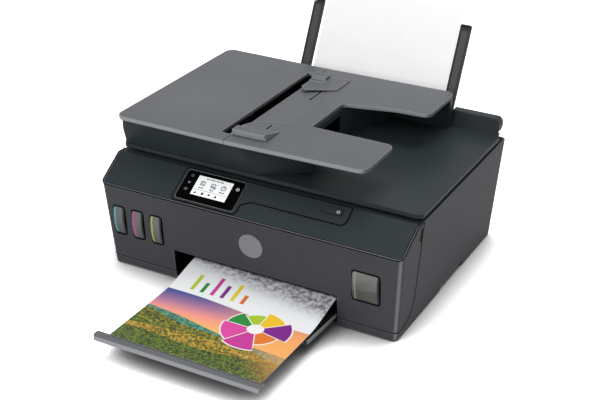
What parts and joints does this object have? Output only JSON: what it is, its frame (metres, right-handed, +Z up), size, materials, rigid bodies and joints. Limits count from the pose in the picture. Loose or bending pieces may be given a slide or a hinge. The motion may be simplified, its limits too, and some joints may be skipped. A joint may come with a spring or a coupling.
{
  "type": "inkjet printer",
  "caption": "All-in-one inkjet printer: flatbed scanner lid with document feeder, sloping control panel, tank windows, rear paper feed and pull-out output tray.",
  "frame": {"origin": "on the desk, under the middle of the body (the paper tray and the sheet supports are not counted)", "axes": "+X to the right of someone who faces the printer, +Y to the back, +Z up"},
  "size_m": [0.453, 0.6207, 0.3186],
  "materials": {
    "case_grey": "fine satin grain",
    "slate_plastic": "fine satin grain",
    "feeder_grey": "fine satin grain",
    "lip_grey": "satin",
    "tray_black": "satin",
    "support_grey": "satin",
    "black_plastic": "satin",
    "white_plastic": "satin",
    "gasket_black": "matt",
    "foot_rubber": "matt",
    "belt_rubber": "matt",
    "roller_rubber": "matt",
    "roller_grey": "matt",
    "tank_cyan": "cloudy, shows the ink",
    "tank_magenta": "cloudy, shows the ink",
    "tank_yellow": "cloudy, shows the ink",
    "tank_smoke": "cloudy, shows the ink",
    "cap_cyan": "satin",
    "cap_magenta": "satin",
    "cap_yellow": "satin",
    "cap_black": "satin",
    "port_metal": "plated",
    "steel": "plated",
    "polished_steel": "polished",
    "sheet_metal": "galvanised",
    "brass": "machined",
    "circuit_board": "solder mask",
    "clear_film": "clear with fine marks",
    "blank_paper": "matt",
    "printed_paper": "glossy print",
    "white_pad": "soft foam sheet",
    "lens_black": "gloss",
    "screen_white": "lit screen",
    "clear_glass": "clear"
  },
  "bodies": {
    "case": {"base_case": "case_grey", "rubber_feet": "foot_rubber", "front_fascia": "case_grey", "window_gaskets": "gasket_black", "tank_cyan": "tank_cyan", "tank_magenta": "tank_magenta", "tank_yellow": "tank_yellow", "tank_black": "tank_smoke", "rear_cover": "case_grey", "power_inlet": "black_plastic", "usb_port": "port_metal", "case_screws": "steel", "power_supply": "black_plastic", "main_board": "circuit_board", "chassis": "sheet_metal", "carriage_rod": "polished_steel", "encoder_strip": "clear_film", "carriage_belt": "belt_rubber", "carriage_motor": "sheet_metal", "platen": "black_plastic", "service_station": "black_plastic", "feed_motor": "sheet_metal", "feed_guide": "black_plastic"},
    "cap_c": {"cap_cyan": "cap_cyan"},
    "cap_m": {"cap_magenta": "cap_magenta"},
    "cap_y": {"cap_yellow": "cap_yellow"},
    "cap_k": {"cap_black": "cap_black"},
    "drive_wheel": {"drive_pulley": "brass"},
    "idler_wheel": {"idler_pulley": "white_plastic"},
    "print_carriage": {"carriage": "black_plastic", "printheads": "black_plastic"},
    "feed_shaft": {"feed_roller": "roller_grey"},
    "exit_shaft": {"exit_roller": "roller_grey"},
    "middle_gear": {"idler_gear": "white_plastic"},
    "pinion": {"motor_pinion": "brass"},
    "pick_shaft": {"pick_roller": "roller_rubber"},
    "support_left": {"paper_support_left": "support_grey"},
    "support_right": {"paper_support_right": "support_grey"},
    "input_sheet": {"input_paper": "blank_paper"},
    "tray": {"output_tray": "tray_black"},
    "extension": {"tray_extension": "lip_grey"},
    "page": {"printed_page": "printed_paper"},
    "scanner": {"top_case": "slate_plastic", "control_panel": "slate_plastic", "display_lens": "lens_black", "display_screen": "screen_white", "scanner_glass": "clear_glass", "scan_rail": "polished_steel"},
    "button": {"power_button": "slate_plastic"},
    "scan_head": {"scan_bar": "black_plastic"},
    "lid": {"lid_plate": "slate_plastic", "hinge_pins": "steel", "document_pad": "white_pad", "adf_body": "slate_plastic", "adf_tray": "feeder_grey"},
    "feeder_cover": {"adf_cover": "feeder_grey"},
    "guide_f": {"guide_front": "feeder_grey"},
    "guide_r": {"guide_rear": "feeder_grey"},
    "adf_pick": {"adf_pick_roller": "roller_rubber"},
    "adf_feed": {"adf_feed_roller": "roller_rubber"}
  },
  "joints": [
    {"name": "scanner_lift", "type": "hinge", "parent": "case", "child": "scanner", "pos_m": [0, 0.171, 0.149], "axis": [-1, 0, 0], "range_deg": [0, 22]},
    {"name": "lid_lift", "type": "hinge", "parent": "scanner", "child": "lid", "pos_m": [0, 0.172, 0.18], "axis": [-1, 0, 0], "range_deg": [0, 40]},
    {"name": "feeder_cover_lift", "type": "hinge", "parent": "lid", "child": "feeder_cover", "pos_m": [-0.216, 0, 0.198], "axis": [0, -1, 0], "range_deg": [0, 75]},
    {"name": "guide_front_slide", "type": "slide", "parent": "lid", "child": "guide_f", "axis": [0, 1, 0], "range_m": [0, 0.038]},
    {"name": "guide_rear_slide", "type": "slide", "parent": "lid", "child": "guide_r", "axis": [0, 1, 0], "range_m": [-0.038, 0]},
    {"name": "adf_feed_spin", "type": "hinge", "parent": "lid", "child": "adf_feed", "pos_m": [-0.15, 0, 0.1915], "axis": [0, 1, 0], "continuous": true},
    {"name": "adf_pick_spin", "type": "hinge", "parent": "lid", "child": "adf_pick", "pos_m": [-0.092, 0, 0.1955], "axis": [0, 1, 0], "continuous": true},
    {"name": "scan_head_slide", "type": "slide", "parent": "scanner", "child": "scan_head", "axis": [1, 0, 0], "range_m": [0, 0.27]},
    {"name": "power_button_press", "type": "slide", "parent": "scanner", "child": "button", "axis": [0, 0.5195, -0.8545], "range_m": [0, 0.0012], "stiffness_N_per_m": 400, "springref_m": -0.0002},
    {"name": "carriage_slide", "type": "slide", "parent": "case", "child": "print_carriage", "axis": [1, 0, 0], "range_m": [-0.28, 0]},
    {"name": "drive_pulley_spin", "type": "hinge", "parent": "case", "child": "drive_wheel", "pos_m": [-0.184, -0.025, 0.076], "axis": [0, 1, 0], "range_deg": [-2675, 1]},
    {"name": "idler_pulley_spin", "type": "hinge", "parent": "case", "child": "idler_wheel", "pos_m": [0.198, -0.025, 0.076], "axis": [0, 1, 0], "range_deg": [-2675, 1]},
    {"name": "feed_roller_spin", "type": "hinge", "parent": "case", "child": "feed_shaft", "pos_m": [0, -0.008, 0.038], "axis": [1, 0, 0], "continuous": true},
    {"name": "idler_gear_spin", "type": "hinge", "parent": "case", "child": "middle_gear", "pos_m": [-0.201, -0.052, 0.038], "axis": [1, 0, 0], "continuous": true},
    {"name": "exit_roller_spin", "type": "hinge", "parent": "case", "child": "exit_shaft", "pos_m": [0, -0.096, 0.038], "axis": [1, 0, 0], "continuous": true},
    {"name": "motor_pinion_spin", "type": "hinge", "parent": "case", "child": "pinion", "pos_m": [-0.201, 0.01013, 0.02955], "axis": [1, 0, 0], "continuous": true},
    {"name": "pick_roller_spin", "type": "hinge", "parent": "case", "child": "pick_shaft", "pos_m": [0, 0.11664, 0.08812], "axis": [1, 0, 0], "continuous": true},
    {"name": "cap_cyan_flip", "type": "hinge", "parent": "case", "child": "cap_c", "pos_m": [-0.199, -0.138, 0.1029], "axis": [-1, 0, 0], "range_deg": [0, 55]},
    {"name": "cap_magenta_flip", "type": "hinge", "parent": "case", "child": "cap_m", "pos_m": [-0.169, -0.138, 0.1029], "axis": [-1, 0, 0], "range_deg": [0, 55]},
    {"name": "cap_yellow_flip", "type": "hinge", "parent": "case", "child": "cap_y", "pos_m": [-0.139, -0.138, 0.1029], "axis": [-1, 0, 0], "range_deg": [0, 55]},
    {"name": "cap_black_flip", "type": "hinge", "parent": "case", "child": "cap_k", "pos_m": [0.1755, -0.138, 0.1029], "axis": [-1, 0, 0], "range_deg": [0, 55]},
    {"name": "tray_slide", "type": "slide", "parent": "case", "child": "tray", "axis": [0, 0.9984, -0.0558], "range_m": [0, 0.07]},
    {"name": "extension_slide", "type": "slide", "parent": "tray", "child": "extension", "axis": [0, 0.9984, -0.0558], "range_m": [0, 0.113]},
    {"name": "page_slide", "type": "slide", "parent": "case", "child": "page", "axis": [0, -0.9984, 0.0558], "range_m": [0, 0.3]},
    {"name": "support_left_slide", "type": "slide", "parent": "case", "child": "support_left", "axis": [0, -0.4226, -0.9063], "range_m": [0, 0.122]},
    {"name": "support_right_slide", "type": "slide", "parent": "case", "child": "support_right", "axis": [0, -0.4226, -0.9063], "range_m": [0, 0.122]},
    {"name": "sheet_slide", "type": "slide", "parent": "case", "child": "input_sheet", "axis": [0, 0.4226, 0.9063], "range_m": [0, 0.32]}
  ],
  "couplings": [
    {"joint": "guide_rear_slide", "follows": "guide_front_slide", "ratio": -1},
    {"joint": "adf_pick_spin", "follows": "adf_feed_spin", "ratio": 1.5556},
    {"joint": "drive_pulley_spin", "follows": "carriage_slide", "rad_per_m": 166.67},
    {"joint": "idler_pulley_spin", "follows": "carriage_slide", "rad_per_m": 166.67},
    {"joint": "idler_gear_spin", "follows": "feed_roller_spin", "ratio": -0.46667},
    {"joint": "exit_roller_spin", "follows": "feed_roller_spin", "ratio": 1},
    {"joint": "motor_pinion_spin", "follows": "feed_roller_spin", "ratio": -2.3333},
    {"joint": "pick_roller_spin", "follows": "feed_roller_spin", "ratio": -0.53846}
  ]
}
